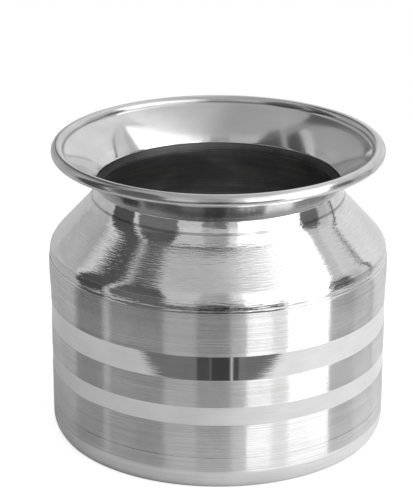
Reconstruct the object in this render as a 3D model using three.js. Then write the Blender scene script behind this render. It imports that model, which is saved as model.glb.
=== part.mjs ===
import * as THREE from 'three';

// A small stainless steel lota: a drawn cup, a spun shoulder and a flared mouth whose
// edge is rolled over a wire, joined by one weld at the shoulder and one at the neck.
// Millimetres, +Z up. The origin is the centre of the flat bottom, on the axis.

// Steel sheet, and the clearances between pieces that touch on the real vessel
const cupSheet = 0.6;
const shoulderSheet = 0.6;
const mouthSheet = 0.6;
const lapGap = 0.2;
const weldGap = 0.15;
const wireGap = 0.2;

// Cup: the plain wall, its rounded toe, and the top that is opened to take the shoulder
const bodyRadius = 50;
const cupHeight = 54;
const cornerRadius = 0.8;
const toeRadius = 6;
const toeHeight = 4;
const socketRise = 0.3;
const socketDepth = 4.6;
const socketRamp = 7;

// Bands turned into the wall, as heights above the flat bottom
const bandDepth = 0.1;
const bands = [
  { bottom: 19.9, top: 25.5 },
  { bottom: 33.7, top: 41 },
];

// Shoulder: the skirt inside the cup, the roll above the weld, and the cone to the neck
const skirtLength = 4;
const rollRadius = 8;
const rollDrop = 0.65;
const shoulderSlope = 47.6;
const neckBend = 1.2;

// Mouth: the collar over the shoulder's lip, the flare, and the rolled edge
const neckRadius = 36.5;
const collarHeight = 2.9;
const lipStop = 0.5;
const flareSlope = 48.4;
const throatBend = 0.6;
const rimRadius = 49.15;
const beadRadius = 1.8;
const curlGap = 0.5;

// Welds: the radius of each bead of metal, and how far the shoulder's stands proud
const weldRadius = 0.25;
const weldProud = 0.15;

// Facets of the revolved surfaces
const segments = 60;
const cornerSteps = 3;
const toeSteps = 3;
const rollSteps = 6;
const bendSteps = 3;
const curlSteps = 14;
const wireSteps = 10;
const weldSteps = 6;

const radians = THREE.MathUtils.degToRad;
const cosine = (degrees) => Math.cos(radians(degrees));
const sine = (degrees) => Math.sin(radians(degrees));
const tangent = (degrees) => Math.tan(radians(degrees));

// Points of an outline are [radius, height]
function onCircle([radius, height], size, degrees) {
  return [radius + size * cosine(degrees), height + size * sine(degrees)];
}

function arc(centre, size, from, to, steps) {
  return Array.from({ length: steps + 1 }, (_, i) => onCircle(centre, size, from + ((to - from) * i) / steps));
}

// A closed round section for a ring, run anticlockwise
function roundSection(centre, size, steps) {
  return arc(centre, size, -180, 180, steps);
}

// The other face of a sheet: the first face moved by the thickness to the right of its run
function otherFace(face, thickness) {
  const rights = face.slice(1).map((end, i) => {
    const along = [end[0] - face[i][0], end[1] - face[i][1]];
    const length = Math.hypot(...along);
    return [along[1] / length, -along[0] / length];
  });
  return face.map(([radius, height], i) => {
    const before = rights[Math.max(i - 1, 0)];
    const after = rights[Math.min(i, rights.length - 1)];
    const spread = 1 + before[0] * after[0] + before[1] * after[1];
    const moved = (axis) => (thickness * (before[axis] + after[axis])) / spread;
    return [radius + moved(0), height + moved(1)];
  });
}

// A bent strip of sheet as one closed section, from the face on the left of its run
function sheetSection(face, thickness) {
  return [...otherFace(face, thickness), ...[...face].reverse(), otherFace(face, thickness)[0]];
}

function piece(name, outline, color, roughness) {
  const points = outline.map(([radius, height]) => new THREE.Vector2(radius, height));
  const geometry = new THREE.LatheGeometry(points, segments);
  geometry.rotateX(Math.PI / 2);
  const material = new THREE.MeshStandardMaterial({ color, roughness, metalness: 1 });
  const mesh = new THREE.Mesh(geometry, material);
  mesh.name = name;
  return mesh;
}

// Cup: from the middle of the bottom out to the corner, up the toe, the ramp and the socket
const socketRadius = bodyRadius + socketRise;
const socketBottom = cupHeight - socketDepth;

function bandSteps({ bottom, top }) {
  const recess = bodyRadius - bandDepth;
  return [[bodyRadius, bottom], [recess, bottom + bandDepth], [recess, top - bandDepth], [bodyRadius, top]];
}

function cupOutline() {
  const toeTurn = THREE.MathUtils.radToDeg(Math.asin((toeHeight - cornerRadius) / (toeRadius - cornerRadius)));
  const toeCentre = [bodyRadius - toeRadius, toeHeight];
  const cornerCentre = onCircle(toeCentre, toeRadius - cornerRadius, -toeTurn);
  const bottom = [[0, 0], ...arc(cornerCentre, cornerRadius, -90, -toeTurn, cornerSteps)];
  const toe = arc(toeCentre, toeRadius, -toeTurn, 0, toeSteps).slice(1);
  const top = [[bodyRadius, socketBottom - socketRamp], [socketRadius, socketBottom], [socketRadius, cupHeight]];
  const outside = [...bottom, ...toe, ...bands.flatMap(bandSteps), ...top];
  const inside = otherFace([...bottom, ...toe, ...top], -cupSheet);
  return [...outside, ...inside.reverse()];
}

// Shoulder: the outer face from the foot of the skirt to the top of the lip at the neck
const skirtRadius = socketRadius - cupSheet - lapGap;
const rollCentre = [socketRadius - rollRadius, cupHeight + lapGap];
const rollEnd = 90 - shoulderSlope;
const lipRadius = neckRadius - mouthSheet - lapGap;
const coneStart = onCircle(rollCentre, rollRadius, rollEnd);

const coneHeight = (radius) => coneStart[1] + (coneStart[0] - radius) * tangent(shoulderSlope);

// The collar's lower edge rests just above the cone, where its inner corner comes nearest
const collarBottom = coneHeight(neckRadius - mouthSheet) + lapGap + weldGap;
const flareStart = collarBottom + collarHeight;

function shoulderOutline() {
  const rollStart = THREE.MathUtils.radToDeg(Math.asin((rollDrop + weldRadius) / rollRadius));
  const lipBendStart = coneHeight(lipRadius) + neckBend * tangent(rollEnd / 2);
  const bendCentre = [lipRadius + neckBend, lipBendStart];
  const outerFace = [
    [skirtRadius, cupHeight - skirtLength],
    [skirtRadius, cupHeight + weldRadius],
    ...arc(rollCentre, rollRadius, rollStart, rollEnd, rollSteps),
    ...arc(bendCentre, neckBend, 180 + rollEnd, 180, bendSteps),
    [lipRadius, flareStart - lipStop],
  ];
  return sheetSection(outerFace.reverse(), shoulderSheet);
}

// Mouth: the inner face from the foot of the collar, up the flare and round the rolled edge
const collarInside = neckRadius - mouthSheet;
const beadCentreRadius = rimRadius - beadRadius;
const flareTopRadius = beadCentreRadius - beadRadius * sine(flareSlope);
const flareTop = flareStart + (flareTopRadius - collarInside) * tangent(flareSlope);
const beadCentre = [beadCentreRadius, flareTop - beadRadius * cosine(flareSlope)];

function mouthOutline() {
  const innerBend = throatBend + mouthSheet;
  const bendStart = flareStart - innerBend * tangent((90 - flareSlope) / 2);
  const bendCentre = [collarInside + innerBend, bendStart];
  const curlStart = 90 + flareSlope;
  const leftOpen = THREE.MathUtils.radToDeg(Math.acos(1 - (mouthSheet + curlGap) / beadRadius));
  const curlEnd = curlStart - 360 + leftOpen;
  const innerFace = [
    [collarInside, collarBottom],
    ...arc(bendCentre, innerBend, 180, curlStart, bendSteps),
    ...arc(beadCentre, beadRadius, curlStart, curlEnd, curlSteps),
  ];
  return sheetSection(innerFace, mouthSheet);
}

// Wire in the rolled edge
const wireRadius = beadRadius - mouthSheet - wireGap;

// Welds: one in the groove above the cup's top edge, one under the collar on the cone
const shoulderWeldCentre = [socketRadius + weldProud - weldRadius, cupHeight + weldGap + weldRadius];
const neckWeldHeight = collarBottom - weldGap - weldRadius;
const coneClearance = (weldRadius + weldGap) / sine(shoulderSlope);
const coneRadius = coneStart[0] - (neckWeldHeight - coneStart[1]) / tangent(shoulderSlope);
const neckWeldCentre = [coneRadius + coneClearance, neckWeldHeight];

const lota = new THREE.Group();
lota.add(
  piece('base_cup', cupOutline(), 0xc9cacb, 0.28),
  piece('shoulder_shell', shoulderOutline(), 0xcfd0d1, 0.12),
  piece('flared_mouth', mouthOutline(), 0xcdcecf, 0.16),
  piece('rim_wire', roundSection(beadCentre, wireRadius, wireSteps), 0xa9abad, 0.4),
  piece('shoulder_weld', roundSection(shoulderWeldCentre, weldRadius, weldSteps), 0xc2c3c4, 0.3),
  piece('neck_weld', roundSection(neckWeldCentre, weldRadius, weldSteps), 0xbcbdbe, 0.35),
);

export default lota;
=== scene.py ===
import math
import random

import bmesh
import bpy
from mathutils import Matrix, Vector, noise


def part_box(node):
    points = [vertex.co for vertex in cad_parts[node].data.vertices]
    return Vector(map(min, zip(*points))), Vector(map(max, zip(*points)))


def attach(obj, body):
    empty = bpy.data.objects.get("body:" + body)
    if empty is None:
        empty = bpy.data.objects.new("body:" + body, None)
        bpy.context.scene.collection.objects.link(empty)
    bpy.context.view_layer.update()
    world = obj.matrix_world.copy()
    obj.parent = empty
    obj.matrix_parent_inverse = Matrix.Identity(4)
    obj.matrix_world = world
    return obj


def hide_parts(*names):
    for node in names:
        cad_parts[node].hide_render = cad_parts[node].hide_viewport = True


# A small stainless steel lota in a plain studio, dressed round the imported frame.
# Shapes are worked out in millimetres and become metres when a mesh is made. Azimuths
# are in degrees round the axis: 0 faces the camera and 90 is to the right of it.

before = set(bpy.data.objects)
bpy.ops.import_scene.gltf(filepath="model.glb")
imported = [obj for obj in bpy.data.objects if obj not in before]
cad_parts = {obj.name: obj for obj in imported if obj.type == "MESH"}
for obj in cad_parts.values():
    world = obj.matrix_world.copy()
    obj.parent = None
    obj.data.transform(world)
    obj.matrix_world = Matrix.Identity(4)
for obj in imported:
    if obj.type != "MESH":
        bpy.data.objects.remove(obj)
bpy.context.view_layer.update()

MM = 0.001


def corners_of(node):
    """The lowest and highest corner of a CAD node, in millimetres."""
    low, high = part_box(node)
    return low / MM, high / MM


cup_high = corners_of("base_cup")[1]
shoulder_low, shoulder_high = corners_of("shoulder_shell")
mouth_low, mouth_high = corners_of("flared_mouth")
wire_low, wire_high = corners_of("rim_wire")
weld_low, weld_high = corners_of("shoulder_weld")

# Sheet steel, and the clearances that the frame keeps between its pieces
SHEET = 0.6
LAP_GAP = 0.2
WIRE_GAP = 0.2

# Cup, with the grooves of its wall and the line and bands turned into it
SOCKET_RADIUS = cup_high.x
SOCKET_RISE = 0.3
BODY_RADIUS = SOCKET_RADIUS - SOCKET_RISE
CUP_HEIGHT = cup_high.z
SOCKET_BOTTOM = CUP_HEIGHT - 4.6
RAMP_BOTTOM = SOCKET_BOTTOM - 7
EDGE_ROUND = 0.2
CORNER_RADIUS = 0.8
TOE_RADIUS = 6
TOE_HEIGHT = 4
SMOOTH_TOP = 5.7
GROOVE_PITCH = 0.3
GROOVE_DEPTH = 0.06
GROOVE_SPREAD = 0.3
GROOVE_SEED = 7
LINE_HEIGHT = 9.8
LINE_WIDTH = 0.26
LINE_DEPTH = 0.05
BAND_DEPTH = 0.08
LOWER_BAND = (19.9, 25.5)
UPPER_BAND = (33.7, 41.0)

# Shoulder. The angles of the roll are how far it faces up at its bottom, at the knee over its upright
# foot, and where its uneven part ends
SKIRT_RADIUS = SOCKET_RADIUS - SHEET - LAP_GAP
LEDGE_HEIGHT = (weld_low.z + weld_high.z) / 2 - 0.15
ROLL_RADIUS = 8
ROLL_CENTRE = (SOCKET_RADIUS - ROLL_RADIUS, CUP_HEIGHT + LAP_GAP)
ROLL_BOTTOM = CUP_HEIGHT + 0.6
ROLL_START = -6
ROLL_KNEE = 3
ROLL_BLEND = 25
ROLL_FOOT_RADIUS = 9
SHOULDER_SLOPE = 47.6
NECK_BEND = 1.2
SPIN_DEPTH = 0.0015
SPIN_STEP = 0.3
SPIN_FADE = 1
SPIN_WAVES = (1.5, 2.3, 6.5)

# Mouth: a trumpet, steep at the throat and at the crease inside the bead, and flatter between. Slopes
# are in degrees above level. The curl's start and end and its lining's end are directions from the
# middle of the bead
NECK_RADIUS = 36.5
COLLAR_BOTTOM = mouth_low.z
LIP_RADIUS = NECK_RADIUS - SHEET - LAP_GAP
LIP_TOP = shoulder_high.z - 1.95
THROAT_BEND = 1.2
THROAT_SLOPE = 56
FLARE_BEND = 40
FLARE_SLOPE = 48
RIM_SLOPE = 35
CREASE_BEND = 2.5
CREASE_SLOPE = 64
RIM_DROP = 0.4
BEAD_RADIUS = 1.785
BEAD_CENTRE = (mouth_high.x - BEAD_RADIUS - 0.1, (wire_low.z + wire_high.z) / 2 - RIM_DROP)
CURL_START = 168
CURL_END = -125
LINING_END = 160
# Outline steps on either side of the crease that take its painted shade
CREASE_SHADE_STEPS = 2
WIRE_RADIUS = BEAD_RADIUS - SHEET - WIRE_GAP

# Neck: the hollow in which the collar's foot is dressed down onto the shoulder. The angles are how
# far the steel faces up at the hollow's top, on either side of the weld, and at its bottom
NECK_TOP = COLLAR_BOTTOM + 2.6
HOLLOW_FIRST = 4
JOINT = (20, 24)
HOLLOW_LAST = 90 - SHOULDER_SLOPE
JOINT_DEPTH = 0.015
HOLLOW_STEP = 2

# Welds, dressed down to the sheets that they join. The slopes are those of the shoulder weld's face at
# its bottom and top, and the taper is how many degrees of the hollow the neck weld's back leaves free
SHOULDER_WELD_START = (SOCKET_RADIUS - 0.13, CUP_HEIGHT - 0.05)
SHOULDER_WELD_RADIUS = 3
SHOULDER_WELD_SLOPES = (84, 98)
SHOULDER_WELD_DEPTH = 0.5
NECK_WELD_DEPTH = 0.7
NECK_WELD_TAPER = 1
WELD_RIPPLE = 0.05
RIPPLES_ROUND = 14

# Fineness of the meshes: steps round the axis, degrees of arc, and the length of a straight step, also
# where it is hidden. Shading breaks at a turn over the sharp one, which is in degrees
TURNS = 240
ARC_STEP = 6
RUN_STEP = 1.5
HIDDEN_STEP = 4
SHARP_TURN = 24
SAME_POINT = 1e-6

# Slow waves that forming leaves in the sheet
WAVE_DEPTH = 0.05
WAVES_ROUND = 2.4
WAVE_HEIGHT = 16

# Camera: how far in front of the axis, how high, how far it tips down and turns aside. It sees
# things between its two clip distances, in metres
CAMERA_BACK = 583.3
CAMERA_HEIGHT = 275.3
CAMERA_TIP = 20.78
CAMERA_TURN = 0.3375
CAMERA_LENS = 150.74
SENSOR_WIDTH = 36
CLIP_START = 0.01
CLIP_END = 10


def placed(name, data):
    """An object with this data, put into the scene."""
    thing = bpy.data.objects.new(name, data)
    bpy.context.scene.collection.objects.link(thing)
    return thing


def on_circle(centre, size, degrees):
    """The point of a circle in this direction from its centre."""
    angle = math.radians(degrees)
    return (centre[0] + size * math.cos(angle), centre[1] + size * math.sin(angle))


def arc(centre, size, start, end):
    """Points along an arc, between two directions from its centre."""
    steps = max(3, round(abs(end - start) / ARC_STEP))
    return [on_circle(centre, size, start + (end - start) * i / steps) for i in range(steps + 1)]


def run(start, end, step=RUN_STEP):
    """Points along a straight length of outline, both ends included."""
    steps = max(1, round(math.dist(start, end) / step))
    return [tuple(a + (b - a) * i / steps for a, b in zip(start, end)) for i in range(steps + 1)]


def bend(start, size, first, last):
    """Points along a bend that begins at start and turns from one slope to another, in degrees."""
    side = 1 if last > first else -1
    length = size * math.radians(abs(last - first))
    steps = max(3, round(abs(last - first) / ARC_STEP), round(length / RUN_STEP))
    centre = (start[0] - side * size * math.sin(math.radians(first)),
              start[1] + side * size * math.cos(math.radians(first)))
    points = []
    for i in range(steps + 1):
        slope = math.radians(first + (last - first) * i / steps)
        points.append((centre[0] + side * size * math.sin(slope), centre[1] - side * size * math.cos(slope)))
    return points


def outline_of(*stretches):
    """Joins (finish, points) stretches into a list of (point, finish of the length that ends there)."""
    joined = []
    for finish, points in stretches:
        for point in points:
            if not joined or math.dist(point, joined[-1][0]) > SAME_POINT:
                joined.append((point, finish))
    return joined


def other_face(face, thickness):
    """The face of a sheet moved by the thickness to the right of its run."""
    rights = []
    for (r0, h0), (r1, h1) in zip(face, face[1:]):
        length = math.hypot(r1 - r0, h1 - h0)
        rights.append(((h1 - h0) / length, (r0 - r1) / length))
    moved = []
    for i, (radius, height) in enumerate(face):
        before = rights[max(i - 1, 0)]
        after = rights[min(i, len(rights) - 1)]
        share = thickness / (1 + before[0] * after[0] + before[1] * after[1])
        moved.append((radius + share * (before[0] + after[0]), height + share * (before[1] + after[1])))
    return moved


def wave(turn, height):
    """How far the sheet lies inside its true circle, in millimetres."""
    place = Vector((math.cos(turn) * WAVES_ROUND, math.sin(turn) * WAVES_ROUND, height / WAVE_HEIGHT))
    return WAVE_DEPTH * (0.5 + 0.5 * noise.noise(place))


def turn_between(before, here, after):
    """Degrees by which an outline turns to the left at a point."""
    first = math.atan2(here[1] - before[1], here[0] - before[0])
    second = math.atan2(after[1] - here[1], after[0] - here[0])
    return math.degrees(math.remainder(second - first, math.tau))


def unroll(mesh, lengths):
    """A map of the surface laid flat: once round the axis by the length of the outline."""
    layer = mesh.uv_layers.new(name="OFBake")
    for face, polygon in enumerate(mesh.polygons):
        row, step = divmod(face, TURNS)
        for loop, (side, end) in zip(polygon.loop_indices, ((0, 0), (1, 0), (1, 1), (0, 1))):
            layer.data[loop].uv = ((step + side) / TURNS, lengths[row + end] / lengths[-1])


def mark_corners(mesh, outline, closed):
    """Smooth shading that breaks at the corners of the outline, but not in the hollow of a groove."""
    count = len(outline)
    inner = range(count) if closed else range(1, count - 1)
    sharp = set()
    for i in inner:
        here, finish = outline[i]
        after, next_finish = outline[(i + 1) % count]
        turn = turn_between(outline[i - 1][0], here, after)
        in_groove = turn < 0 and finish == next_finish == "turned"
        if abs(turn) > SHARP_TURN and not in_groove:
            sharp.add(i)
    mesh.shade_smooth()
    for edge in mesh.edges:
        first, second = (vertex // TURNS for vertex in edge.vertices)
        edge.use_edge_sharp = first == second and first in sharp


def tidy(mesh):
    """Joins the vertices that lie on the axis, and turns every face outwards."""
    work = bmesh.new()
    work.from_mesh(mesh)
    bmesh.ops.remove_doubles(work, verts=work.verts, dist=SAME_POINT * MM)
    bmesh.ops.recalc_face_normals(work, faces=work.faces)
    work.to_mesh(mesh)
    work.free()


def revolve(name, outline, uneven=wave):
    """Turns an outline about the axis. It starts and ends on the axis, or else it is closed."""
    points = [point for point, finish in outline]
    finishes = [finish for point, finish in outline]
    names = list(dict.fromkeys(finishes))
    count = len(points)
    closed = points[0][0] > SAME_POINT
    vertices = []
    for radius, height in points:
        for step in range(TURNS):
            turn = math.tau * step / TURNS
            real = radius - uneven(turn, height) if radius > SAME_POINT else 0
            vertices.append((real * math.cos(turn) * MM, real * math.sin(turn) * MM, height * MM))
    faces = []
    indices = []
    lengths = [0.0]
    for i in range(count if closed else count - 1):
        after = (i + 1) % count
        lengths.append(lengths[-1] + math.dist(points[i], points[after]))
        for step in range(TURNS):
            side = (step + 1) % TURNS
            faces.append((i * TURNS + step, i * TURNS + side, after * TURNS + side, after * TURNS + step))
            indices.append(names.index(finishes[after]))
    mesh = bpy.data.meshes.new(name)
    mesh.from_pydata(vertices, [], faces)
    unroll(mesh, lengths)
    for finish in names:
        mesh.materials.append(FINISHES[finish])
    mesh.polygons.foreach_set("material_index", indices)
    mark_corners(mesh, outline, closed)
    tidy(mesh)
    return placed(name, mesh)


# Finishes. Each is bare steel whose marks run round the axis. Noise lies mostly between the low and
# the high, clouds are sized in mm, and a quarter of a turn lays the finer blur along the rings
NOISE_LOW = 0.3
NOISE_HIGH = 0.7
CLOUD_SIZE = 14
QUARTER_TURN = 0.25


class Nodes:
    """The nodes of a material or of the world, made one by one."""

    def __init__(self, material):
        material.use_nodes = True
        self.tree = material.node_tree
        self.tree.nodes.clear()

    def add(self, kind, **settings):
        node = self.tree.nodes.new(kind)
        for key, value in settings.items():
            setattr(node, key, value)
        return node

    def join(self, out, into):
        self.tree.links.new(out, into)

    def fill(self, node, values):
        """Sets the plain values of a node's sockets, by their names."""
        for socket, value in values.items():
            node.inputs[socket].default_value = value

    def place(self):
        """The place on the object, as its three coordinates."""
        coordinates = self.add("ShaderNodeTexCoord")
        apart = self.add("ShaderNodeSeparateXYZ")
        self.join(coordinates.outputs["Object"], apart.inputs[0])
        return apart.outputs

    def show(self, shader, kind="ShaderNodeOutputMaterial"):
        """Makes this shader the surface."""
        out = self.add(kind)
        self.join(shader.outputs[0], out.inputs["Surface"])

    def math(self, operation, *values):
        """A Math node. A value is a number or another node's output."""
        node = self.add("ShaderNodeMath", operation=operation)
        for socket, value in zip(node.inputs, values):
            if isinstance(value, (int, float)):
                socket.default_value = value
            else:
                self.join(value, socket)
        return node.outputs[0]

    def noise(self, vector, detail=2.0):
        """Noise that changes over a length of about 1 in the vector."""
        node = self.add("ShaderNodeTexNoise")
        self.fill(node, {"Scale": 1, "Detail": detail})
        self.join(vector, node.inputs["Vector"])
        return node.outputs["Fac"]

    def spread(self, factor, low, high):
        """A factor around 0.5 stretched to run from low to high."""
        node = self.add("ShaderNodeMapRange", clamp=True)
        self.fill(node, {"From Min": NOISE_LOW, "From Max": NOISE_HIGH, "To Min": low, "To Max": high})
        self.join(factor, node.inputs["Value"])
        return node.outputs["Result"]


def ring_noise(nodes, pitch, length, lean):
    """Noise drawn out round the axis. Pitch and length are the size of a mark across and along, in mm.

    lean is 1 where the outline's radius grows with height, and -1 where it shrinks.
    """
    x, y, z = nodes.place()
    squares = nodes.math("ADD", nodes.math("MULTIPLY", x, x), nodes.math("MULTIPLY", y, y))
    radius = nodes.math("SQRT", squares)
    across = nodes.math("MULTIPLY_ADD", radius, lean, z)
    along = 1 / (length * MM)
    vector = nodes.add("ShaderNodeCombineXYZ")
    nodes.join(nodes.math("MULTIPLY", x, along), vector.inputs[0])
    nodes.join(nodes.math("MULTIPLY", y, along), vector.inputs[1])
    nodes.join(nodes.math("MULTIPLY", across, 1 / (pitch * MM)), vector.inputs[2])
    return nodes.noise(vector.outputs[0])


def cloud_noise(nodes):
    """Noise in soft patches."""
    place = nodes.add("ShaderNodeTexCoord")
    scaled = nodes.add("ShaderNodeVectorMath", operation="SCALE")
    nodes.join(place.outputs["Object"], scaled.inputs[0])
    nodes.fill(scaled, {"Scale": 1 / (CLOUD_SIZE * MM)})
    return nodes.noise(scaled.outputs[0], detail=3.0)


def steel(name, tone, rough, groove=0.0, marks=(0.5, 30), mark_depth=0.0, mark_tone=0.05,
          smear=0.06, rough_spread=0.15, lean=1):
    """Bare steel. tone is its linear reflectance and rough its roughness.

    groove is how much finer the blur is along the marks than across them, from 0 to 1.
    marks gives their pitch and length, mark_depth their height in mm, and mark_tone and
    smear how much the tone changes from mark to mark and over the surface. rough_spread is
    how much the roughness changes, and lean is that of ring_noise.
    """
    material = bpy.data.materials.new(name)
    nodes = Nodes(material)
    shader = nodes.add("ShaderNodeBsdfPrincipled")
    nodes.fill(shader, {"Metallic": 1, "Anisotropic": groove, "Anisotropic Rotation": QUARTER_TURN})
    tangent = nodes.add("ShaderNodeTangent", direction_type="RADIAL", axis="Z")
    nodes.join(tangent.outputs[0], shader.inputs["Tangent"])
    lines = ring_noise(nodes, marks[0], marks[1], lean)
    clouds = cloud_noise(nodes)
    share = nodes.math("MULTIPLY", nodes.spread(lines, 1 - mark_tone, 1 + mark_tone),
                       nodes.spread(clouds, 1 - smear, 1 + smear))
    grey = nodes.math("MULTIPLY", share, tone)
    colour = nodes.add("ShaderNodeCombineColor")
    for socket in colour.inputs:
        nodes.join(grey, socket)
    nodes.join(colour.outputs[0], shader.inputs["Base Color"])
    nodes.join(nodes.spread(clouds, rough * (1 + rough_spread), rough * (1 - rough_spread)),
               shader.inputs["Roughness"])
    if mark_depth:
        bump = nodes.add("ShaderNodeBump")
        nodes.fill(bump, {"Strength": 1, "Distance": mark_depth * MM})
        nodes.join(lines, bump.inputs["Height"])
        nodes.join(bump.outputs[0], shader.inputs["Normal"])
    nodes.show(shader)
    return material


FINISHES = {
    "turned": steel("turned_wall", 0.72, 0.22, groove=1.0, marks=(0.3, 30), mark_tone=0.08),
    "bright": steel("bright_band", 0.85, 0.07, groove=0.6, marks=(0.33, 9), mark_depth=0.01, mark_tone=0.03),
    "line": steel("cut_line", 0.55, 0.3, groove=0.8, marks=(0.3, 12), mark_depth=0.002, mark_tone=0.3),
    "edge": steel("band_edge", 0.7, 0.2, groove=0.6, marks=(0.6, 26), mark_depth=0.002),
    "toe": steel("smooth_toe", 0.82, 0.24, groove=0.6, marks=(0.6, 26), mark_depth=0.0015),
    "bottom": steel("turned_bottom", 0.6, 0.32, groove=0.8, marks=(0.7, 30), mark_depth=0.003),
    "cut": steel("cut_edge", 0.66, 0.3, marks=(0.3, 8), mark_depth=0.002),
    # Dull steel inside the pot: its roughness is its own, and its low tone is partly painted shade for the
    # dark interior
    "inside": steel("dull_shaded_inside", 0.35, 0.42, groove=0.6, marks=(1.2, 60), mark_depth=0.006, mark_tone=0.16,
                    smear=0.3, lean=-1),
    "cup_inside": steel("turned_inside", 0.55, 0.4, groove=0.6, marks=(0.9, 60), mark_depth=0.006,
                        mark_tone=0.16, smear=0.2),
    "shoulder": steel("polished_shoulder", 0.85, 0.07, groove=0.6, marks=(0.45, 4), mark_depth=0.04,
                      mark_tone=0.05, lean=-1),
    "roll": steel("uneven_roll", 0.72, 0.08, groove=0.6, marks=(0.5, 5), mark_depth=0.12, mark_tone=0.06,
                  lean=-1),
    "neck": steel("dressed_neck", 0.85, 0.08, groove=0.4, marks=(0.7, 3), mark_depth=0.06, mark_tone=0.06,
                  lean=-1),
    "neck_weld": steel("dressed_neck_weld", 0.5, 0.12, groove=0.4, marks=(0.7, 3), mark_depth=0.06,
                       mark_tone=0.15, lean=-1),
    "flare": steel("buffed_flare", 0.75, 0.13, groove=0.7, marks=(0.7, 26), mark_depth=0.008, mark_tone=0.06,
                   lean=-1),
    "lip": steel("shaded_lip", 0.12, 0.45, marks=(0.6, 20), mark_depth=0.003),
    # The crease between the flare and the bead is darker: painted shade in its corner
    "crease": steel("shaded_crease", 0.42, 0.2, groove=0.5, marks=(0.4, 9), mark_depth=0.01, mark_tone=0.2,
                    lean=-1),
    # The flare's underside and the bead's lining are darker than its top: painted shade under the rim
    "underside": steel("shaded_flare_underside", 0.42, 0.18, groove=0.6, marks=(0.7, 14), mark_depth=0.01),
    "bead": steel("rolled_bead", 0.7, 0.2, groove=0.5, marks=(0.35, 12), mark_depth=0.006, mark_tone=0.12),
    "wire": steel("drawn_wire", 0.5, 0.4, marks=(0.4, 12), mark_depth=0.002),
    "weld": steel("dressed_weld", 0.82, 0.14, marks=(0.8, 3), mark_depth=0.02, mark_tone=0.1),
}


# The six pieces
def band(low, high):
    """The three stretches of a band: its smooth face and the chamfer on either side."""
    bottom = (BODY_RADIUS - BAND_DEPTH, low + BAND_DEPTH)
    top = (BODY_RADIUS - BAND_DEPTH, high - BAND_DEPTH)
    return (
        ("edge", [(BODY_RADIUS, low), bottom]),
        ("bright", run(bottom, top)),
        ("edge", [top, (BODY_RADIUS, high)]),
    )


def wall_radius(height):
    """The wall swells gently near its top, to make the socket that takes the shoulder."""
    share = min(max((height - RAMP_BOTTOM) / (SOCKET_BOTTOM - RAMP_BOTTOM), 0), 1)
    return BODY_RADIUS + SOCKET_RISE * share * share * (3 - 2 * share)


chance = random.Random(GROOVE_SEED)


def grooves(low, high):
    """The marks that the lathe's tool leaves between two heights: hollows between sharp crests."""
    count = round((high - low) / GROOVE_PITCH)
    crests = [low + (high - low) * i / count for i in range(count + 1)]
    for i in range(1, count):
        crests[i] += GROOVE_PITCH * GROOVE_SPREAD * (chance.random() - 0.5)
    points = [(wall_radius(low), low)]
    for start, end in zip(crests, crests[1:]):
        middle = (start + end) / 2
        depth = GROOVE_DEPTH * (end - start) / GROOVE_PITCH * (1 + GROOVE_SPREAD * (chance.random() - 0.5))
        points += [(wall_radius(middle) - depth, middle), (wall_radius(end), end)]
    return points


def make_cup():
    toe_turn = math.degrees(math.asin((TOE_HEIGHT - CORNER_RADIUS) / (TOE_RADIUS - CORNER_RADIUS)))
    toe_centre = (BODY_RADIUS - TOE_RADIUS, TOE_HEIGHT)
    corner_centre = on_circle(toe_centre, TOE_RADIUS - CORNER_RADIUS, -toe_turn)
    corner = arc(corner_centre, CORNER_RADIUS, -90, -toe_turn)
    toe = arc(toe_centre, TOE_RADIUS, -toe_turn, 0)
    round_centre = (SOCKET_RADIUS - EDGE_ROUND, CUP_HEIGHT - EDGE_ROUND)
    outside = outline_of(
        ("bottom", run((0, 0), corner[0], HIDDEN_STEP)),
        ("toe", corner + toe + [(BODY_RADIUS, SMOOTH_TOP)]),
        ("turned", grooves(SMOOTH_TOP, LINE_HEIGHT - LINE_WIDTH / 2)),
        ("line", [(BODY_RADIUS - LINE_DEPTH, LINE_HEIGHT), (BODY_RADIUS, LINE_HEIGHT + LINE_WIDTH / 2)]),
        ("turned", grooves(LINE_HEIGHT + LINE_WIDTH / 2, LOWER_BAND[0])),
        *band(*LOWER_BAND),
        ("turned", grooves(LOWER_BAND[1], UPPER_BAND[0])),
        *band(*UPPER_BAND),
        ("turned", grooves(UPPER_BAND[1], CUP_HEIGHT - EDGE_ROUND)),
        ("edge", arc(round_centre, EDGE_ROUND, 0, 90)),
    )
    ramp = (RAMP_BOTTOM, (RAMP_BOTTOM + SOCKET_BOTTOM) / 2, SOCKET_BOTTOM)
    swell = [(wall_radius(height), height) for height in ramp]
    plain = run((0, 0), corner[0], HIDDEN_STEP) + corner + toe + run(toe[-1], swell[0], HIDDEN_STEP)
    plain += swell + [(SOCKET_RADIUS, CUP_HEIGHT)]
    plain = [point for point, finish in outline_of(("cup_inside", plain))]
    inside = other_face(plain, -SHEET)
    inside[0] = (0, SHEET)
    inside.reverse()
    return revolve("cup_shell", outside + outline_of(("cup_inside", inside)))


def cone_height(radius):
    """The height of the shoulder's straight slope at a radius."""
    top = on_circle(ROLL_CENTRE, ROLL_RADIUS, 90 - SHOULDER_SLOPE)
    return top[1] + (top[0] - radius) * math.tan(math.radians(SHOULDER_SLOPE))


def hollow(first, last, depth=0.0):
    """Points along the hollow of the neck, between two angles at which it faces up.

    depth is how far under its surface they lie.
    """
    top, bottom = math.radians(HOLLOW_FIRST), math.radians(HOLLOW_LAST)
    slope = math.tan(math.radians(SHOULDER_SLOPE))
    size = NECK_TOP - cone_height(NECK_RADIUS)
    size /= math.sin(bottom) - math.sin(top) - (math.cos(top) - math.cos(bottom)) * slope
    points = []
    steps = max(1, round(abs(last - first) / HOLLOW_STEP))
    for i in range(steps + 1):
        lean = math.radians(first + (last - first) * i / steps)
        points.append((NECK_RADIUS + size * (math.cos(top) - math.cos(lean)) - depth * math.cos(lean),
                       NECK_TOP - size * (math.sin(lean) - math.sin(top)) - depth * math.sin(lean)))
    return points


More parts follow.
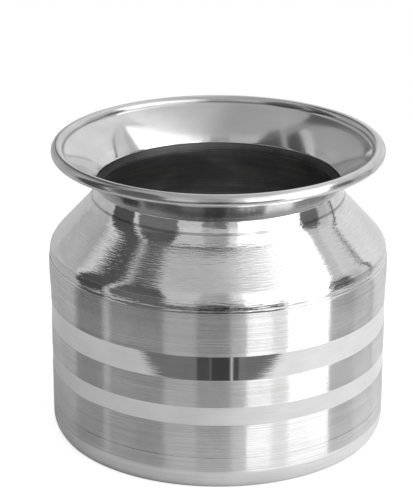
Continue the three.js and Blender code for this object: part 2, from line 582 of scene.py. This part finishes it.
def spun(start, end):
    """A straight stretch with the faint rings that spinning leaves in it. They fade out at both ends."""
    points = run(start, end, SPIN_STEP)
    length = math.dist(start, end)
    across = ((end[1] - start[1]) / length, (start[0] - end[0]) / length)
    uneven = []
    for point in points:
        along = math.dist(start, point)
        fade = min(1, along / SPIN_FADE, (length - along) / SPIN_FADE)
        depth = sum(math.sin(math.tau * along / wave_length) for wave_length in SPIN_WAVES)
        uneven.append((point[0] + SPIN_DEPTH * fade * depth * across[0],
                       point[1] + SPIN_DEPTH * fade * depth * across[1]))
    return uneven


def rise(size, first, last):
    """How far a bend goes out and up."""
    first, last = math.radians(first), math.radians(last)
    return size * abs(math.sin(last) - math.sin(first)), size * abs(math.cos(last) - math.cos(first))


def lower_roll():
    """The roll's foot, which stands nearly upright, and the knee between it and the round of the roll."""
    top = on_circle(ROLL_CENTRE, ROLL_RADIUS, ROLL_BLEND)
    start, knee, end = (90 + angle for angle in (ROLL_START, ROLL_KNEE, ROLL_BLEND))
    foot_out, foot_up = rise(ROLL_FOOT_RADIUS, start, knee)
    knee_radius = (top[1] - ROLL_BOTTOM - foot_up) / rise(1, knee, end)[1]
    bottom = (top[0] + foot_out + rise(knee_radius, knee, end)[0], ROLL_BOTTOM)
    foot = bend(bottom, ROLL_FOOT_RADIUS, start, knee)
    return foot + bend(foot[-1], knee_radius, knee, end)[1:]


def make_shoulder():
    roll = lower_roll()
    upper_roll = arc(ROLL_CENTRE, ROLL_RADIUS, ROLL_BLEND, HOLLOW_LAST)
    ledge = (SKIRT_RADIUS, LEDGE_HEIGHT)
    bend_centre = (LIP_RADIUS + NECK_BEND,
                   cone_height(LIP_RADIUS) + NECK_BEND * math.tan(math.radians(HOLLOW_LAST / 2)))
    lip = arc(bend_centre, NECK_BEND, 180 + HOLLOW_LAST, 180) + [(LIP_RADIUS, LIP_TOP)]
    neck = hollow(HOLLOW_LAST, JOINT[1])
    shown = outline_of(
        ("inside", [(SKIRT_RADIUS, shoulder_low.z), ledge]),
        ("roll", roll),
        ("shoulder", upper_roll + spun(upper_roll[-1], neck[0])),
        ("neck", neck),
        ("lip", lip),
    )
    plain = [(SKIRT_RADIUS, shoulder_low.z), ledge] + roll + upper_roll + run(upper_roll[-1], lip[0]) + lip
    plain = [point for point, finish in outline_of(("inside", plain))]
    back = other_face(plain, -SHEET)
    back.reverse()
    return revolve("polished_shoulder", shown + outline_of(("lip", back[:1]), ("inside", back[1:])))


def make_mouth():
    inside_radius = NECK_RADIUS - SHEET
    crease = on_circle(BEAD_CENTRE, BEAD_RADIUS, CURL_START)
    fixed = ((THROAT_BEND, 90, THROAT_SLOPE), (FLARE_BEND, THROAT_SLOPE, FLARE_SLOPE),
             (CREASE_BEND, RIM_SLOPE, CREASE_SLOPE))
    out = crease[0] - inside_radius - sum(rise(*part)[0] for part in fixed)
    rim_bend = out / rise(1, FLARE_SLOPE, RIM_SLOPE)[0]
    up = sum(rise(*part)[1] for part in fixed) + rise(rim_bend, FLARE_SLOPE, RIM_SLOPE)[1]
    throat = bend((inside_radius, crease[1] - up), THROAT_BEND, 90, THROAT_SLOPE)
    flare = bend(throat[-1], FLARE_BEND, THROAT_SLOPE, FLARE_SLOPE)
    flare += bend(flare[-1], rim_bend, FLARE_SLOPE, RIM_SLOPE)[1:]
    crease_bend = bend(flare[-1], CREASE_BEND, RIM_SLOPE, CREASE_SLOPE)
    curl = arc(BEAD_CENTRE, BEAD_RADIUS, CURL_START, CURL_END)
    lining = arc(BEAD_CENTRE, BEAD_RADIUS - SHEET, CURL_END, LINING_END)
    underside = other_face(flare + crease_bend[1:], SHEET)
    underside.reverse()
    foot = hollow(HOLLOW_FIRST, JOINT[0])
    outline = outline_of(
        ("cut", [(inside_radius, COLLAR_BOTTOM)]),
        ("inside", throat[:1]),
        ("flare", throat + flare + crease_bend[:-CREASE_SHADE_STEPS]),
        # Painted shade: the steps on either side of the crease take the darker crease finish
        ("crease", crease_bend[-CREASE_SHADE_STEPS:] + curl[:CREASE_SHADE_STEPS]),
        ("bead", curl[CREASE_SHADE_STEPS:]),
        ("cut", [lining[0]]),
        # Painted shade: the bead's lining and the flare's underside take the darker underside finish
        ("underside", lining + underside[1:]),
        ("neck", foot),
    )
    return revolve("flared_rim", outline)


def make_wire():
    return revolve("rolled_wire", outline_of(("wire", arc(BEAD_CENTRE, WIRE_RADIUS, -180, 180)[:-1])))


def rippled(turn, height):
    """How far a weld lies inside its true circle: it is uneven along its length, as laid metal is."""
    place = Vector((math.cos(turn) * RIPPLES_ROUND, math.sin(turn) * RIPPLES_ROUND, height))
    return WELD_RIPPLE * (0.5 + 0.5 * noise.noise(place))


def make_welds():
    shoulder_face = bend(SHOULDER_WELD_START, SHOULDER_WELD_RADIUS, *SHOULDER_WELD_SLOPES)
    shoulder_back = [(radius - SHOULDER_WELD_DEPTH, height) for radius, height in shoulder_face[::-1]]
    neck_face = hollow(JOINT[0], JOINT[1], JOINT_DEPTH)
    neck_back = hollow(JOINT[1] - NECK_WELD_TAPER, JOINT[0] + NECK_WELD_TAPER, NECK_WELD_DEPTH)
    return (
        revolve("shoulder_weld_bead", outline_of(("weld", shoulder_face + shoulder_back)), rippled),
        revolve("neck_weld_bead", outline_of(("neck_weld", neck_face), ("weld", neck_back)), rippled),
    )


def stand_for(piece, node):
    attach(piece, "root")
    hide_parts(node)


shoulder_weld, neck_weld = make_welds()
stand_for(make_cup(), "base_cup")
stand_for(make_shoulder(), "shoulder_shell")
stand_for(make_mouth(), "flared_mouth")
stand_for(make_wire(), "rim_wire")
stand_for(shoulder_weld, "shoulder_weld")
stand_for(neck_weld, "neck_weld")


# Studio: a white sheet on a table, a lamp, a white world, and cards and a ceiling that only the metal
# mirrors. A glow is how bright the sheet looks to a kind of ray, over what its lighting gives it. The
# ceiling's slope and curve are how its tone grows to the right, by the metre. The lamp's size, its
# place and the point it aims at are in metres, and its power is in watts
SHEET_FRONT_LEFT = -98
SHEET_FRONT_RIGHT = -120.5
SHEET_BACK = 300
SHEET_SIDE = 150
SHEET_TONE = 0.6
SHEET_GLOW = 0.75
SHEET_LEFT_GLOW = 0.03
SHEET_RIGHT_GLOW = 0.27
SHEET_GLOW_SIDES = (-20, 60)
CARD_DISTANCE = 600
CARD_MIDDLE = 50
CARD_STEP = 3
CEILING_TILT = 56
CEILING_SIDES = 48
CEILING_TONE = 0.51
CEILING_SLOPE = 0.6
CEILING_CURVE = 0.5
CEILING_FLOOR = 0.45
CEILING_LIMIT = 0.92
WORLD_LIGHT = 0.5
LAMP_SIZE = 0.7
LAMP_POWER = 4
LAMP_PLACE = (0.3, -0.15, 0.8)
LAMP_AIM = (0, 0, 0.03)


def staged(name, mesh, material):
    mesh.materials.append(material)
    thing = placed(name, mesh)
    return thing


def mirror_only(thing):
    thing.visible_camera = False
    thing.visible_diffuse = False
    thing.visible_shadow = False
    thing.visible_transmission = False


def light_path(nodes, *kinds):
    """1 for a ray of one of these kinds, such as Is Camera Ray, and 0 for any other."""
    path = nodes.add("ShaderNodeLightPath")
    total = path.outputs[kinds[0]]
    for kind in kinds[1:]:
        total = nodes.math("ADD", total, path.outputs[kind])
    return nodes.math("MINIMUM", total, 1)


def make_floor():
    """A white sheet, which shows the lota's shadow. To glossy rays it glows brighter on the right: painted
    light that the steel mirrors.
    """
    material = bpy.data.materials.new("white_sheet")
    nodes = Nodes(material)
    matt = nodes.add("ShaderNodeBsdfDiffuse")
    nodes.fill(matt, {"Color": (SHEET_TONE, SHEET_TONE, SHEET_TONE, 1)})
    glow = nodes.add("ShaderNodeEmission")
    x = nodes.place()[0]
    # Painted light: for glossy rays the sheet's glow rises towards the right, so steel mirrors a brighter
    # floor there
    side = nodes.add("ShaderNodeMapRange", clamp=True, interpolation_type="SMOOTHSTEP")
    left, right = SHEET_GLOW_SIDES
    nodes.fill(side, {"From Min": left * MM, "From Max": right * MM, "To Min": 0, "To Max": SHEET_RIGHT_GLOW})
    nodes.join(x, side.inputs["Value"])
    mirrored = nodes.math("ADD", side.outputs[0], SHEET_LEFT_GLOW)
    glossy = nodes.math("MULTIPLY", light_path(nodes, "Is Glossy Ray"), mirrored)
    nodes.join(nodes.math("MULTIPLY_ADD", light_path(nodes, "Is Camera Ray"), SHEET_GLOW, glossy),
               glow.inputs["Strength"])
    both = nodes.add("ShaderNodeAddShader")
    nodes.join(matt.outputs[0], both.inputs[0])
    nodes.join(glow.outputs[0], both.inputs[1])
    nodes.show(both)
    corners = ((-SHEET_SIDE, SHEET_FRONT_LEFT), (SHEET_SIDE, SHEET_FRONT_RIGHT),
               (SHEET_SIDE, SHEET_BACK), (-SHEET_SIDE, SHEET_BACK))
    mesh = bpy.data.meshes.new("floor")
    mesh.from_pydata([(across * MM, along * MM, 0) for across, along in corners], [], [(0, 1, 2, 3)])
    staged("floor", mesh, material)


make_floor()


def far_point(azimuth, tilt):
    """A point of the wide cylinder that carries the cards. tilt is its angle above level, in degrees."""
    turn = math.radians(azimuth)
    height = CARD_MIDDLE + CARD_DISTANCE * math.tan(math.radians(tilt))
    return (CARD_DISTANCE * math.sin(turn) * MM, -CARD_DISTANCE * math.cos(turn) * MM, height * MM)


def make_card(name, low, high, low_sides, high_sides, strength):
    """A curved card between two tilts, with the azimuths of its sides at each of them."""
    steps = max(1, round((low_sides[1] - low_sides[0]) / CARD_STEP))
    vertices = []
    for i in range(steps + 1):
        for tilt, (start, end) in ((low, low_sides), (high, high_sides)):
            vertices.append(far_point(start + (end - start) * i / steps, tilt))
    mesh = bpy.data.meshes.new(name)
    mesh.from_pydata(vertices, [], [(2 * i, 2 * i + 2, 2 * i + 3, 2 * i + 1) for i in range(steps)])
    mirror_only(staged(name, mesh, glowing(name, strength)))


def glowing(name, strength):
    material = bpy.data.materials.new(name)
    nodes = Nodes(material)
    glow = nodes.add("ShaderNodeEmission")
    nodes.fill(glow, {"Strength": strength})
    nodes.show(glow)
    return material


# Cards from left to right. Each starts where the last one ends, and has its name, the azimuth of its
# right side at the first three tilts and then at each of the others, and the brightness of its five
# parts: below the table's edge, beside the lota, over that in two parts, and high up
CARD_TILTS = (-45, -12, 8, 25, 50, CEILING_TILT)
CARDS = [
    ("behind", (-168, -168, -168, -168), (0.6, 0.65, 0.7, 0.6, 0.4)),
    ("left_shade", (-168, -156, -122, -112), (0.55, 0.55, 0.17, 0.12, 0.12)),
    ("left_far", (-140, -140, -121, -111), (0.55, 0.55, 0.43, 0.4, 0.3)),
    ("left_back", (-103.5, -112, -109, -105), (0.5, 0.5, 0.45, 0.41, 0.32)),
    ("left_glow", (-103.5, -102.5, -98, -96), (0.5, 0.5, 0.62, 0.66, 0.35)),
    ("left_dark", (-77.6, -77.6, -82.5, -84), (0.08, 0.08, 0.08, 0.09, 0.33)),
    ("left_slit", (-72.5, -72.5, -76.3, -77), (0.6, 0.6, 0.55, 0.45, 0.4)),
    ("left_grey", (-34, -34, -49, -65), (0.16, 0.16, 0.16, 0.1, 0.17)),
    ("front_left", (-13.4, -13.4, -13.4, -13.4), (0.17, 0.58, 0.65, 0.55, 0.55)),
    ("camera_left", (-5.2, -5.2, -5.2, -5.2), (0.07, 0.22, 0.52, 0.4, 0.42)),
    ("camera_slit", (-4, -4, -4, -4), (0.13, 0.3, 0.52, 0.4, 0.42)),
    ("camera", (8.2, 8.2, 8.2, 8.2), (0.05, 0.16, 0.52, 0.38, 0.42)),
    ("right_slit", (9.8, 9.8, 9.8, 9.8), (0.5, 0.55, 0.6, 0.5, 0.5)),
    ("front_dark", (13.6, 13.6, 13.6, 13.6), (0.07, 0.6, 0.9, 0.8, 0.8)),
    ("front_right", (18, 18, 18, 18), (0.18, 0.6, 0.9, 0.8, 0.8)),
    ("softbox_near", (34, 34, 34, 34), (0.16, 2.25, 2.2, 1.4, 1.1)),
    ("softbox_seam", (45, 45, 45, 45), (0.15, 1.45, 1.5, 1.5, 1.3)),
    ("softbox_far", (74.4, 79, 116, 92), (2, 2.8, 2.5, 1.8, 1.3)),
    ("right_near", (97, 97, 119, 108), (0.65, 0.14, 0.13, 0.55, 0.55)),
    ("right_grey", (108, 109, 123, 117), (0.5, 0.48, 0.55, 0.68, 0.7)),
    ("right_light", (116.6, 117, 124, 119), (0.55, 0.56, 0.65, 0.7, 0.7)),
    ("right_pole", (119.4, 119.4, 124, 119), (0.1, 0.1, 0.04, 0.04, 0.3)),
    ("right_back", (180, 180, 180, 180), (0.75, 0.75, 0.8, 0.84, 0.8)),
]


def make_cards():
    starts = (-180,) * len(CARD_TILTS)
    for name, sides, tones in CARDS:
        ends = (sides[0],) * (len(CARD_TILTS) - len(sides)) + sides
        edges = list(zip(CARD_TILTS, zip(starts, ends)))
        for i, ((low, low_sides), (high, high_sides)) in enumerate(zip(edges, edges[1:])):
            if low_sides[0] < low_sides[1] or high_sides[0] < high_sides[1]:
                make_card("%s_%d" % (name, i + 1), low, high, low_sides, high_sides, tones[i])
        starts = ends


make_cards()


def make_ceiling():
    """A grey ceiling over the cards, brighter to the right, near the lamp."""
    rim = [far_point(360 * i / CEILING_SIDES, CEILING_TILT) for i in range(CEILING_SIDES)]
    mesh = bpy.data.meshes.new("ceiling")
    mesh.from_pydata(rim, [], [tuple(range(CEILING_SIDES))])
    material = bpy.data.materials.new("ceiling")
    nodes = Nodes(material)
    x = nodes.place()[0]
    slope = nodes.math("MULTIPLY_ADD", x, CEILING_CURVE, CEILING_SLOPE)
    tone = nodes.math("MULTIPLY_ADD", x, slope, CEILING_TONE)
    glow = nodes.add("ShaderNodeEmission")
    limited = nodes.math("MINIMUM", nodes.math("MAXIMUM", tone, CEILING_FLOOR), CEILING_LIMIT)
    nodes.join(limited, glow.inputs["Strength"])
    nodes.show(glow)
    mirror_only(staged("ceiling", mesh, material))


make_ceiling()


def make_world():
    """White where it is seen or mirrored, and a plain level as a light."""
    world = bpy.data.worlds.new("studio")
    bpy.context.scene.world = world
    nodes = Nodes(world)
    ground = nodes.add("ShaderNodeBackground")
    nodes.fill(ground, {"Color": (1, 1, 1, 1)})
    seen = light_path(nodes, "Is Camera Ray", "Is Glossy Ray", "Is Transmission Ray")
    strength = nodes.math("MULTIPLY_ADD", seen, 1 - WORLD_LIGHT, WORLD_LIGHT)
    nodes.join(strength, ground.inputs["Strength"])
    nodes.show(ground, "ShaderNodeOutputWorld")


make_world()


def make_lamp():
    """The soft lamp, to the right and in front. The steel mirrors the cards in its stead."""
    lamp = bpy.data.lights.new("soft_lamp", "AREA")
    lamp.shape = "RECTANGLE"
    lamp.size = LAMP_SIZE
    lamp.size_y = LAMP_SIZE
    lamp.energy = LAMP_POWER
    thing = placed("soft_lamp", lamp)
    thing.location = LAMP_PLACE
    thing.rotation_euler = (Vector(LAMP_AIM) - Vector(LAMP_PLACE)).to_track_quat("-Z", "Y").to_euler()
    thing.visible_glossy = False


make_lamp()


def make_camera():
    camera = bpy.data.cameras.new("camera")
    camera.lens = CAMERA_LENS
    camera.sensor_width = SENSOR_WIDTH
    camera.sensor_fit = "AUTO"
    camera.clip_start = CLIP_START
    camera.clip_end = CLIP_END
    thing = placed("camera", camera)
    thing.location = (0, -CAMERA_BACK * MM, CAMERA_HEIGHT * MM)
    thing.rotation_euler = (math.radians(90 - CAMERA_TIP), 0, math.radians(CAMERA_TURN))
    bpy.context.scene.camera = thing


make_camera()
bpy.context.scene.view_settings.view_transform = "Standard"
